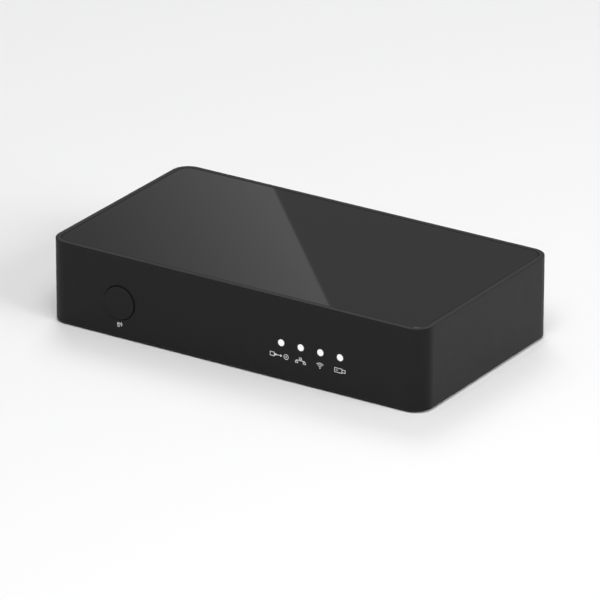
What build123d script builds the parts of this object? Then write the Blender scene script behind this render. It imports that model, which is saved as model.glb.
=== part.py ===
"""Network and Bluetooth audio receiver: a small desktop box built from its separate pieces.

Units are millimetres. The pieces are drawn with the housing centred on X 0, Y 0 and the desk at Z 0,
and saved with the origin under the middle of the whole outline, the phono sockets at the rear included.
+X runs along the front from left to right, -Y is the front, +Y the connector side, +Z up.
"""

import os
from math import radians, tan

from build123d import *

os.makedirs("parts", exist_ok=True)

# ---------------------------------------------------------------- driving dimensions
WIDTH = 145.0  # housing, side to side
DEPTH = 80.0  # housing, front to rear
HEIGHT = 29.3  # desk to the top rim
CORNER_R = 6.2  # vertical corners of the housing
FOOT_DROP = 0.6  # how far the rubber feet hold the housing off the desk
WALL = 2.0  # moulded wall thickness
RIM = 1.8  # width of the rim round the gloss top panel
PLAY = 0.15  # assembly clearance between moulded pieces
FOOT_EDGE_R, TOP_EDGE_R = 0.5, 0.25  # rounding of the housing's lower and upper outline

# housing levels and faces
BODY_Z = FOOT_DROP  # underside of the housing
FRONT = -DEPTH / 2
REAR = DEPTH / 2
PANEL_T = 1.45  # gloss top panel
ADHESIVE_T = 0.15
PANEL_SINK = 0.05  # the panel sits this far below the rim
DECK_T = 1.5  # shell deck under the panel
DECK_TOP = HEIGHT - PANEL_SINK - PANEL_T - ADHESIVE_T
DECK_Z = DECK_TOP - DECK_T
BASE_T = 2.0
BASE_TOP = BODY_Z + BASE_T
INNER_X = WIDTH / 2 - WALL
INNER_Y = DEPTH / 2 - WALL

# case screws run up through cups in the base into bosses of the shell
SCREW_X, SCREW_Y = 64.5, 31.5
CUP_R, CUP_TOP = 4.2, BODY_Z + 4.0
CUP_HEAD_R, CUP_HEAD_TOP, CUP_SHANK_R = 3.0, BODY_Z + 2.2, 1.65
CASE_HEAD_H = 1.9
BOSS_R, BOSS_PILOT_R = 3.2, 1.3
BOSS_Z = CUP_TOP + 0.05
CORNERS = [(-1, -1), (1, -1), (-1, 1), (1, 1)]

# rubber feet, and the recess of the rating label
FOOT_X, FOOT_Y = 53.0, 27.0
FOOT_R, FOOT_SINK = 5.0, 0.8
LABEL_Y, LABEL_W, LABEL_D, LABEL_RECESS = 20.0, 52.0, 20.0, 0.2
LABEL_T, LABEL_PLAY = 0.12, 0.2

# main board
PCB_Z, PCB_T = 6.0, 1.6
PCB_TOP = PCB_Z + PCB_T
PCB_HALF_X = 69.0
PCB_FRONT, PCB_REAR = -37.0, 36.4
PCB_NOTCH_X, PCB_NOTCH_Y = 60.5, 27.0
STAND_X, STAND_Y = 64.0, 18.0
STAND_R, STAND_PILOT_R = 3.0, 0.95
BOARD_SCREW_HOLE_R = 1.4

# soldered and drilled details shared by several pieces
TAIL_PLAY = 0.1  # board hole round a solder tail
LEAD_PITCH = 2.54  # leads of the infrared detector and the optical light source
DRILL_PAST = 1.0  # how far a cutting tool runs past the material

# front face: indicator lights and the infrared window
FIRST_LIGHT_X, LIGHT_PITCH = 18.75, 7.5
LIGHT_X = [FIRST_LIGHT_X + LIGHT_PITCH * i for i in range(4)]
LIGHT_Z = 13.3
LIGHT_R = 1.3
LIGHT_HOLE_R = 1.4
LED_Y = -31.0
WINDOW_X, WINDOW_Z = -44.3, 12.9
WINDOW_R = 5.7
WINDOW_HOLE_R = 6.0
WINDOW_PROUD = 0.5

# rear panel and the row of connectors in it
IO_HALF_X, IO_TOP = 63.0, 23.6
IO_FLANGE_T, IO_FLANGE_W = 1.25, 1.45
FLANGE_Y = INNER_Y - 0.05  # flange's rear face, just inside the rear wall
FACE_Y = REAR - 0.2  # mouths of the connectors that pass through the panel
SHOULDER_Y = INNER_Y - 0.2  # faces of the connectors that stay behind the panel
CUT_PLAY = 0.2

DC_X, DC_W, DC_H, DC_D = 54.0, 9.0, 11.0, 14.2
DC_AXIS_Z = PCB_TOP + 6.5
DC_BORE_R, DC_PIN_R, DC_BORE_D = 3.15, 1.0, 9.5

RESET_X, RESET_Z = 43.0, PCB_TOP + 3.0
RESET_STEM_R, RESET_HOLE_R = 1.5, 1.75
RESET_FLANGE_R = 2.0

LAN_X, LAN_W, LAN_H, LAN_D = 28.5, 16.0, 13.4, 21.3
LAN_CAVITY_W, LAN_CAVITY_Z, LAN_CAVITY_TOP = 11.8, PCB_TOP + 4.4, PCB_TOP + 11.3
LAN_LATCH_W, LAN_LATCH_Z = 6.4, PCB_TOP + 1.6
LAN_CAVITY_D = 14.0

USB_X, USB_W, USB_H, USB_D = 9.0, 13.2, 5.82, 14.0
USB_Z = PCB_TOP + 0.4
USB_SHEET, USB_FLARE = 0.35, 0.4

AUX_X, AUX_W, AUX_H, AUX_D = -6.0, 8.0, 7.4, 13.8
AUX_AXIS_Z = PCB_TOP + 4.0
AUX_BORE_R, AUX_NOSE_R, AUX_BORE_END = 1.8, 3.0, 26.4
AUX_NOSE_Y = REAR + 0.4

OPT_X, OPT_W, OPT_H, OPT_D = -19.5, 10.0, 11.0, 13.8
OPT_MOUTH = 8.2
OPT_FLOOR = PCB_TOP + 0.9
OPT_CEILING = OPT_FLOOR + OPT_MOUTH
OPT_POCKET_TOP = OPT_CEILING + 1.2
OPT_SILL = 0.3
OPT_LIP_Y = FACE_Y - 1.35
OPT_BACK = 29.0
OPT_HINGE_Y, OPT_HINGE_Z = 37.9, OPT_CEILING + 0.5
SHUTTER_T, SHUTTER_PIN_R = 0.95, 0.6

LINE_X = [-49.75, -35.75]
LINE_AXIS_Z = PCB_TOP + 6.8
LINE_W, LINE_H, LINE_D = 25.5, 12.8, 10.0
LINE_BARREL_R, LINE_BARREL_T, LINE_COLLAR_R = 4.15, 0.4, 4.4
LINE_TIP = REAR + 7.3

OUTLINE_MID_Y = (FRONT + LINE_TIP) / 2

pcb_cutters = []


# ---------------------------------------------------------------- helpers
def block(x0, x1, y0, y1, z0, z1):
    """Box between two corners."""
    return Pos((x0 + x1) / 2, (y0 + y1) / 2, (z0 + z1) / 2) * Box(x1 - x0, y1 - y0, z1 - z0)


def block_at(x, w, y0, y1, z0, z1):
    """Box of width w centred on x."""
    return block(x - w / 2, x + w / 2, y0, y1, z0, z1)


def post(r, x, y, z0, z1):
    """Upright cylinder."""
    return Pos(x, y, (z0 + z1) / 2) * Cylinder(r, z1 - z0)


def rod(r, x, z, y0, y1):
    """Cylinder along Y."""
    return Pos(x, (y0 + y1) / 2, z) * Rot(90, 0, 0) * Cylinder(r, y1 - y0)


def rod_x(r, y, z, x0, x1):
    """Cylinder along X."""
    return Pos((x0 + x1) / 2, y, z) * Rot(0, 90, 0) * Cylinder(r, x1 - x0)


def slab(half_x, half_y, r, z0, z1):
    """Plate with rounded vertical corners, centred on the origin."""
    return extrude(Pos(0, 0, z0) * RectangleRounded(2 * half_x, 2 * half_y, r), z1 - z0)


def turned(points, x, y, z):
    """Solid of revolution about a vertical axis at (x, y), from (radius, height) points above z."""
    profile = make_face(Polyline([(r, 0, h) for r, h in points], close=True))
    return Pos(x, y, z) * revolve(profile, Axis.Z)


def outer_edges(shape, z, half_x, half_y):
    """Edges of a plate's outline at height z, the rounded corners included."""
    level = [e for e in shape.edges() if abs(e.center().Z - z) < 1e-3]
    band = 0.3 * CORNER_R
    return [e for e in level if abs(e.center().X) > half_x - band or abs(e.center().Y) > half_y - band]


def tail(x, y, w, d, top=PCB_TOP, drop=1.0):
    """Solder tail through the main board; the board gets a hole to match."""
    hole_w, hole_d = w + 2 * TAIL_PLAY, d + 2 * TAIL_PLAY
    hole_z = PCB_Z - DRILL_PAST, PCB_TOP + DRILL_PAST
    pcb_cutters.append(block_at(x, hole_w, y - hole_d / 2, y + hole_d / 2, *hole_z))
    return block_at(x, w, y - d / 2, y + d / 2, PCB_Z - drop, top)


def self_tapper(head_r, head_h, core_r, ridge_r, length, pitch):
    """Self-tapping screw: head down at z 0, point up, rings for its thread, and a cross recess."""
    collar, point_h = 0.4, 0.8
    tip = head_h + length
    points = [(0, 0), (head_r * 0.8, 0), (head_r, head_h * 0.45), (head_r, head_h), (ridge_r, head_h)]
    z = head_h + collar
    points.append((ridge_r, z))
    while z + pitch < tip - 1.5 * point_h:
        points += [(core_r, z + pitch * 0.25), (core_r, z + pitch * 0.7), (ridge_r, z + pitch * 0.98)]
        z += pitch
        points.append((ridge_r, z + pitch * 0.02))
    points += [(core_r, z + pitch * 0.3), (core_r, tip - point_h), (0, tip)]
    body = turned(points, 0, 0, 0)
    arm_l, arm_w, recess_mid = head_r * 1.2, head_r * 0.24, head_h * 0.1
    cross = Box(arm_l, arm_w, head_h) + Box(arm_w, arm_l, head_h)
    return body - Pos(0, 0, recess_mid) * cross


def save(name, *solids):
    """Writes one node; several solids stay separate in it."""
    moved = [Pos(0, -OUTLINE_MID_Y, 0) * solid for solid in solids]
    shape = moved[0] if len(moved) == 1 else Compound(children=moved)
    export_step(shape, f"parts/{name}.step")


# ---------------------------------------------------------------- housing
def upper_shell():
    """Side walls, rim and deck in one moulding, open below and behind the rear panel."""
    shell = slab(WIDTH / 2, DEPTH / 2, CORNER_R, BODY_Z, HEIGHT)
    shell = fillet(outer_edges(shell, BODY_Z, WIDTH / 2, DEPTH / 2), FOOT_EDGE_R)
    shell = fillet(outer_edges(shell, HEIGHT, WIDTH / 2, DEPTH / 2), TOP_EDGE_R)
    shell -= slab(INNER_X, INNER_Y, CORNER_R - WALL, BODY_Z - 1, DECK_Z)
    shell -= slab(WIDTH / 2 - RIM, DEPTH / 2 - RIM, CORNER_R - RIM, DECK_TOP, HEIGHT + 1)
    shell -= block(-IO_HALF_X, IO_HALF_X, INNER_Y - 1, REAR + 1, BODY_Z - 1, IO_TOP)
    for x in LIGHT_X:
        shell -= rod(LIGHT_HOLE_R, x, LIGHT_Z, FRONT - 1, -INNER_Y + 1)
    shell -= rod(WINDOW_HOLE_R, WINDOW_X, WINDOW_Z, FRONT - 1, -INNER_Y + 1)
    rib_t, rib_h, rib_end_y = 1.2, 1.5, 30.0
    for y in (-24.0, 0.0, 20.0):
        shell += block(-INNER_X, INNER_X, y - rib_t / 2, y + rib_t / 2, DECK_Z - rib_h, DECK_Z)
    for x in (-40.0, 0.0, 40.0):
        shell += block_at(x, rib_t, -INNER_Y, rib_end_y, DECK_Z - rib_h, DECK_Z)
    web_z = BOSS_Z + 3.0
    pilot_depth = 12.0
    keeper_y = FLANGE_Y - IO_FLANGE_T - PLAY
    for sx, sy in CORNERS:
        x, y = sx * SCREW_X, sy * SCREW_Y
        shell += post(BOSS_R, x, y, BOSS_Z, DECK_Z)
        web_x = sorted((x, sx * INNER_X))
        shell += block(*web_x, y - rib_t / 2, y + rib_t / 2, web_z, DECK_Z)
        if sy > 0:
            keeper_x = sorted((sx * (IO_HALF_X + 0.4), sx * INNER_X))
            shell += block(*keeper_x, keeper_y - rib_t, keeper_y, web_z, DECK_Z)
        shell -= post(BOSS_PILOT_R, x, y, BOSS_Z - 1, BOSS_Z + pilot_depth)
    return shell


def top_panel():
    """Gloss sheet set into the rim."""
    gap, edge_break = 0.12, 0.15
    half_x, half_y = WIDTH / 2 - RIM - gap, DEPTH / 2 - RIM - gap
    z0 = DECK_TOP + ADHESIVE_T
    panel = slab(half_x, half_y, CORNER_R - RIM - gap, z0, z0 + PANEL_T)
    return chamfer(outer_edges(panel, z0 + PANEL_T, half_x, half_y), edge_break)


def top_panel_adhesive():
    """Frame of thin double-sided film under the gloss sheet."""
    inset, width, outer_r, inner_r = 1.0, 7.0, 3.0, 2.0
    half_x, half_y = WIDTH / 2 - RIM - inset, DEPTH / 2 - RIM - inset
    film = slab(half_x, half_y, outer_r, DECK_TOP, DECK_TOP + ADHESIVE_T)
    return film - slab(half_x - width, half_y - width, inner_r, DECK_TOP - 1, DECK_TOP + 1)


def base_plate():
    """Bottom plate: board standoffs, screw cups, foot recesses, cooling slots, sill under the rear panel."""
    base = slab(INNER_X - PLAY, INNER_Y - PLAY, CORNER_R - WALL - PLAY, BODY_Z, BASE_TOP)
    sill = block(-IO_HALF_X + PLAY, IO_HALF_X - PLAY, INNER_Y - 2, REAR, BODY_Z, BASE_TOP)
    lower_rear = sill.edges().filter_by(Axis.X).sort_by(Axis.Z)[:2].sort_by(Axis.Y)[-1]
    base += fillet(lower_rear, FOOT_EDGE_R)
    for sx, sy in CORNERS:
        x, y = sx * SCREW_X, sy * SCREW_Y
        base += post(CUP_R, x, y, BODY_Z, CUP_TOP)
        base -= post(CUP_HEAD_R, x, y, BODY_Z - 1, CUP_HEAD_TOP)
        base -= post(CUP_SHANK_R, x, y, BODY_Z, CUP_TOP + 1)
        base -= post(FOOT_R + 0.1, sx * FOOT_X, sy * FOOT_Y, BODY_Z - 1, BODY_Z + FOOT_SINK)
        base += post(STAND_R, sx * STAND_X, sy * STAND_Y, BASE_TOP, PCB_Z)
        base -= post(STAND_PILOT_R, sx * STAND_X, sy * STAND_Y, BODY_Z + 1.2, PCB_Z + 1)
    slot_w, slot_l, slot_pitch, slot_y = 1.6, 22.0, 4.5, -12.0
    slot = SlotOverall(slot_l, slot_w, rotation=90)
    for row_x in (-27.0, 27.0):
        for i in range(-3, 4):
            base -= extrude(Pos(row_x + i * slot_pitch, slot_y, BODY_Z - 1) * slot, BASE_T + 2)
    label_y = LABEL_Y - LABEL_D / 2, LABEL_Y + LABEL_D / 2
    base -= block_at(0, LABEL_W, *label_y, BODY_Z - 1, BODY_Z + LABEL_RECESS)
    rib_x, rib_t, rib_h, rib_y = 38.0, 1.2, 1.2, (-34.0, 6.0)
    for x in (-rib_x, rib_x):
        base += block_at(x, rib_t, *rib_y, BASE_TOP, BASE_TOP + rib_h)
    return base


def rating_label():
    """Blank rating sticker in its recess under the base."""
    corner_r = 1.2
    outline = RectangleRounded(LABEL_W - 2 * LABEL_PLAY, LABEL_D - 2 * LABEL_PLAY, corner_r)
    return extrude(Pos(0, LABEL_Y, BODY_Z + LABEL_RECESS - LABEL_T) * outline, LABEL_T)


def rubber_foot(x, y):
    """Round foot glued into its recess."""
    edge_r = 0.4
    foot = post(FOOT_R, x, y, 0, BODY_Z + FOOT_SINK)
    return fillet(foot.edges().sort_by(Axis.Z)[0], edge_r)


def rear_io_panel():
    """Connector panel: a plate flush with the rear wall and a flange that keys behind it."""
    plate_x, plate_top = IO_HALF_X - PLAY, IO_TOP - PLAY
    plate_z = BASE_TOP + 0.1
    panel = block(-plate_x, plate_x, FLANGE_Y, REAR, plate_z, plate_top)
    flange_w, flange_top = 2 * (plate_x + IO_FLANGE_W), plate_top + 1.25
    flange = block_at(0, flange_w, FLANGE_Y - IO_FLANGE_T, FLANGE_Y, plate_z, flange_top)
    frame = 1.6
    flange -= block(-plate_x + frame, plate_x - frame, 0, REAR, plate_z - 1, plate_top - frame)
    panel += flange
    cut_y = REAR - 10.0, REAR + 5.0
    for x, w, z, h, play in (
        (DC_X, DC_W, PCB_TOP, DC_H, CUT_PLAY),
        (LAN_X, LAN_W, PCB_TOP, LAN_H, CUT_PLAY),
        (USB_X, USB_W, USB_Z, USB_H, CUT_PLAY + USB_FLARE + 0.2),
        (OPT_X, OPT_W, PCB_TOP, OPT_H, CUT_PLAY),
    ):
        panel -= block_at(x, w + 2 * play, *cut_y, z - play, z + h + play)
    panel -= rod(RESET_HOLE_R, RESET_X, RESET_Z, *cut_y)
    panel -= rod(AUX_NOSE_R + CUT_PLAY, AUX_X, AUX_AXIS_Z, *cut_y)
    for x in LINE_X:
        panel -= rod(LINE_COLLAR_R + CUT_PLAY, x, LINE_AXIS_Z, *cut_y)
    return panel


def case_screw(x, y):
    """Screw that runs up from the base into a boss of the shell."""
    screw = self_tapper(head_r=2.75, head_h=CASE_HEAD_H, core_r=1.15, ridge_r=1.45, length=10.0, pitch=1.06)
    return Pos(x, y, CUP_HEAD_TOP - CASE_HEAD_H) * screw


def board_screw(x, y):
    """Screw that holds the main board down on a standoff."""
    head_h = 1.6
    screw = self_tapper(head_r=2.3, head_h=head_h, core_r=0.85, ridge_r=1.15, length=5.0, pitch=0.85)
    return Pos(x, y, PCB_TOP + head_h) * Rot(180, 0, 0) * screw


# ---------------------------------------------------------------- front optics
def ir_window():
    """Infrared-pass disc, a little proud of the front, with a glue flange behind the wall."""
    edge_r, flange_w, flange_t, ring_w, face_t = 0.12, 1.5, 0.9, 1.6, 1.0
    disc = rod(WINDOW_R, WINDOW_X, WINDOW_Z, FRONT - WINDOW_PROUD, -INNER_Y)
    disc = fillet(disc.edges().sort_by(Axis.Y)[0], edge_r)
    flange = rod(WINDOW_R + flange_w, WINDOW_X, WINDOW_Z, -INNER_Y, -INNER_Y + flange_t)
    hollow = rod(WINDOW_R - ring_w, WINDOW_X, WINDOW_Z, FRONT + face_t, -INNER_Y + 2)
    return disc + flange - hollow


def light_pipe_array():
    """Four right-angle light guides on one carrier bar that pegs into the main board."""
    turn_r = LIGHT_R * 1.6
    bar_y, bar_h, overhang = (-36.6, -34.6), 2.0, 4.6
    leg_w, leg_inset, peg_r = 2.0, 1.0, 0.8
    peg_y = sum(bar_y) / 2
    ends = LIGHT_X[0] - overhang, LIGHT_X[-1] + overhang
    array = block(*ends, *bar_y, LIGHT_Z - bar_h / 2, LIGHT_Z + bar_h / 2)
    for x in LIGHT_X:
        guide = rod(LIGHT_R, x, LIGHT_Z, FRONT - 0.05, LED_Y + LIGHT_R)
        guide += post(LIGHT_R, x, LED_Y, PCB_TOP + 1.5, LIGHT_Z + LIGHT_R)
        corner = Pos(x, LED_Y + turn_r, LIGHT_Z + turn_r) * Rot(45, 0, 0) * Box(6, 2 * LIGHT_R * 1.35, 12)
        array += guide - corner
    for x in (ends[0] + leg_inset, ends[1] - leg_inset):
        array += block_at(x, leg_w, *bar_y, PCB_TOP, LIGHT_Z)
        array += post(peg_r, x, peg_y, PCB_Z - 0.6, PCB_TOP)
        pcb_cutters.append(post(peg_r + TAIL_PLAY, x, peg_y, PCB_Z - DRILL_PAST, PCB_TOP + DRILL_PAST))
    return array


def ir_receiver():
    """Infrared detector: block with a domed lens, on three leads."""
    x, y0, z0 = WINDOW_X, -34.0, PCB_TOP + 1.8
    w, d, h, dome_r = 6.0, 3.2, 7.0, 2.3
    body = block_at(x, w, y0, y0 + d, z0, z0 + h)
    dome = Pos(x, y0 + 0.4, z0 + 4.0) * Sphere(dome_r)
    body += dome & block_at(x, w, y0 - 2.5, y0 + 1, z0, z0 + h)
    for dx in (-LEAD_PITCH, 0, LEAD_PITCH):
        body += tail(x + dx, y0 + 1.8, 0.5, 0.4, top=z0, drop=1.6)
    return body


# ---------------------------------------------------------------- rear connectors
def dc_jack():
    """Power inlet: block, centre pin and contact leaves."""
    y0, y1 = FACE_Y - DC_D, FACE_Y
    body = block_at(DC_X, DC_W, y0, y1, PCB_TOP, PCB_TOP + DC_H)
    body = fillet(body.edges().filter_by(Axis.Y).group_by(Axis.Z)[-1], 1.2)
    body -= rod(DC_BORE_R, DC_X, DC_AXIS_Z, y1 - DC_BORE_D, y1 + 1)
    body -= rod(DC_PIN_R, DC_X, DC_AXIS_Z, y0 - 1, y1)
    leaf_slot = 3.2
    body -= block_at(DC_X, leaf_slot, y0 + 2.2, y1 - 3.0, DC_AXIS_Z - 4.4, DC_AXIS_Z - 2.0)
    body -= block_at(DC_X, leaf_slot, y0 + 2.2, y0 + 3.4, PCB_TOP - 1, DC_AXIS_Z - 4.0)
    pin = rod(DC_PIN_R, DC_X, DC_AXIS_Z, y0 - 0.4, y1 - 0.6)
    pin = fillet(pin.edges().sort_by(Axis.Y)[-1], 0.5)
    pin += block_at(DC_X, 2.6, y0 - 0.9, y0 - 0.1, PCB_TOP, DC_AXIS_Z + 1.4)
    pin += tail(DC_X, y0 - 0.5, 2.4, 0.8)
    leaf_w, leaf_y, leaf_z = 2.8, y0 + 2.4, DC_AXIS_Z - 3.75
    leaf = block_at(DC_X, leaf_w, leaf_y, y1 - 3.4, leaf_z, leaf_z + 0.4)
    leaf += block_at(DC_X, leaf_w, leaf_y, leaf_y + 0.5, PCB_TOP, leaf_z + 0.4)
    leaf += tail(DC_X, leaf_y + 0.25, 2.4, 0.5)
    return body, pin, leaf


def ethernet_jack():
    """Shielded eight-way socket, latch side down: shield, insert, contacts and link-light lenses."""
    sheet = 0.3
    y0, y1 = FACE_Y - LAN_D, FACE_Y
    z1 = PCB_TOP + LAN_H
    shield = block_at(LAN_X, LAN_W, y0, y1, PCB_TOP, z1)
    shield -= block_at(LAN_X, LAN_W - 2 * sheet, y0 + sheet, y1 + 1, PCB_TOP - 1, z1 - sheet)
    for sx in (-1, 1):
        edge = LAN_X + sx * (LAN_W / 2 - sheet / 2)
        shield += tail(edge, 26.0, sheet, 2.0, top=PCB_TOP + 1, drop=1.2)
    insert = block_at(LAN_X, LAN_W - 2 * sheet, y0 + sheet, y1 - 0.3, PCB_TOP, z1 - sheet)
    cavity_y = y1 - LAN_CAVITY_D
    insert -= block_at(LAN_X, LAN_CAVITY_W, cavity_y, y1 + 1, LAN_CAVITY_Z, LAN_CAVITY_TOP)
    insert -= block_at(LAN_X, LAN_LATCH_W, cavity_y, y1 + 1, LAN_LATCH_Z, LAN_CAVITY_Z)
    insert -= block_at(LAN_X, 4.0, cavity_y, y1 + 1, LAN_LATCH_Z - 0.8, LAN_LATCH_Z)
    comb_top = LAN_CAVITY_TOP + 0.9
    contacts = []
    wire, pitch = 0.35, 1.02
    for i in range(8):
        x = LAN_X + (i - 3.5) * pitch
        insert -= block_at(x, 0.6, cavity_y - 2.0, y1 - 1.6, LAN_CAVITY_TOP - 0.1, comb_top)
        insert -= block_at(x, 0.6, cavity_y - 2.0, cavity_y + 0.1, LAN_CAVITY_Z + 2.2, comb_top)
        path = FilletPolyline(
            (x, cavity_y - 1.2, LAN_CAVITY_Z + 3.0),
            (x, cavity_y + 3.2, LAN_CAVITY_Z + 3.4),
            (x, y1 - 2.6, comb_top - 0.4),
            (x, cavity_y + 1.0, comb_top - 0.4),
            radius=0.3,
        )
        contacts.append(sweep(path.location_at(0) * Circle(wire / 2), path=path))
    lens_x, lens_w, lens_h, lens_y = 6.0, 2.6, 1.2, y1 - 3.0
    lens_z0 = z1 - sheet - 0.3 - lens_h
    lenses = []
    for x in (LAN_X - lens_x, LAN_X + lens_x):
        insert -= block_at(x, lens_w, lens_y, y1 + 1, lens_z0, lens_z0 + lens_h)
        lenses.append(block_at(x, lens_w, lens_y, y1 - 0.2, lens_z0, lens_z0 + lens_h))
    for i in range(8):
        tail_x = LAN_X + (i - 3.5) * pitch
        tail_y = y0 + (3.0 if i % 2 else 5.5)
        insert += tail(tail_x, tail_y, 0.45, 0.45, top=PCB_TOP + 0.5)
    return shield, insert, contacts, lenses


def usb_jack():
    """USB-A style socket: flared sheet shell, insulator tongue and four contacts."""
    y0, y1 = FACE_Y - USB_D, FACE_Y
    z0, z1 = USB_Z, USB_Z + USB_H
    lip_y = y1 - 0.6
    shell = block_at(USB_X, USB_W, y0, lip_y, z0, z1)
    lip = block_at(USB_X, USB_W + 2 * USB_FLARE, lip_y, y1, z0 - USB_FLARE, z1 + USB_FLARE)
    shell += fillet(lip.edges().filter_by(Axis.Y), 0.5)
    shell -= block_at(USB_X, USB_W - 2 * USB_SHEET, y0 + USB_SHEET, y1 + 1, z0 + USB_SHEET, z1 - USB_SHEET)
    spring_x, spring_half, slit, spring_y = 3.2, 0.9, 0.3, (y1 - 7.5, y1 - 2.5)
    for x in (USB_X - spring_x, USB_X + spring_x):
        for side in (-1, 1):
            shell -= block_at(x + side * spring_half, slit, *spring_y, z1 - 1, z1 + 1)
        shell -= block_at(x, 2 * spring_half + slit, spring_y[1] - slit, spring_y[1], z1 - 1, z1 + 1)
    for sx in (-1, 1):
        for y in (y0 + 3.0, y1 - 5.5):
            edge = USB_X + sx * (USB_W / 2 - USB_SHEET / 2)
            shell += tail(edge, y, USB_SHEET, 2.4, top=z0 + 1, drop=1.2)
    inner_w, inner_z0, inner_z1 = USB_W - 2 * USB_SHEET, z0 + USB_SHEET, z1 - USB_SHEET
    tongue_w, root_y, contact_w, contact_sink = 11.1, y0 + 4.6, 1.0, 0.3
    tongue_z1 = inner_z1 - 0.75
    tongue_z0 = tongue_z1 - 1.84
    tongue = block_at(USB_X, inner_w, y0 + USB_SHEET, root_y, inner_z0, inner_z1)
    tongue += block_at(USB_X, tongue_w, root_y, y1 - 0.8, tongue_z0, tongue_z1)
    contacts = []
    for dx in (-3.5, -1.0, 1.0, 3.5):
        x, top = USB_X + dx, tongue_z0 + contact_sink
        tongue -= block_at(x, contact_w + 0.1, root_y, y1 - 2.2, tongue_z0 - 1, top)
        contacts.append(block_at(x, contact_w, root_y, y1 - 2.4, tongue_z0 - 0.05, top))
    return shell, tongue, contacts


def aux_jack():
    """3.5 mm audio socket: block with a round nose, and its two contact leaves."""
    y0, y1 = SHOULDER_Y - AUX_D, SHOULDER_Y
    body = block_at(AUX_X, AUX_W, y0, y1, PCB_TOP, PCB_TOP + AUX_H)
    nose = rod(AUX_NOSE_R, AUX_X, AUX_AXIS_Z, y1, AUX_NOSE_Y)
    body += chamfer(nose.edges().sort_by(Axis.Y)[-1], 0.3)
    body -= rod(AUX_BORE_R, AUX_X, AUX_AXIS_Z, AUX_BORE_END, AUX_NOSE_Y + 1)
    leaf_w, leaf_t, slot_w = 1.4, 0.2, 1.6
    top_z, spring_z = PCB_TOP + AUX_H, AUX_AXIS_Z + 1.9
    side_x = AUX_X - AUX_W / 2 - 0.1
    leaves = []
    for y in (28.0, 32.4):
        body -= block_at(AUX_X, slot_w, y, y + 3.2, AUX_AXIS_Z + 1.2, top_z + 1)
        bend_y = y + leaf_t, y + 2 * leaf_t
        strip = block_at(AUX_X, leaf_w, bend_y[0], y + 3.0, spring_z, spring_z + leaf_t)
        strip += block_at(AUX_X, leaf_w, *bend_y, spring_z, top_z + leaf_t)
        strip += block(side_x - leaf_t, AUX_X + leaf_w / 2, *bend_y, top_z, top_z + leaf_t)
        strip += block(side_x - leaf_t, side_x, bend_y[0], y + 1.2, PCB_TOP, top_z + leaf_t)
        strip += tail(side_x - leaf_t / 2, y + 0.7, leaf_t, 1.0)
        leaves.append(strip)
    return body, leaves


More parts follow.
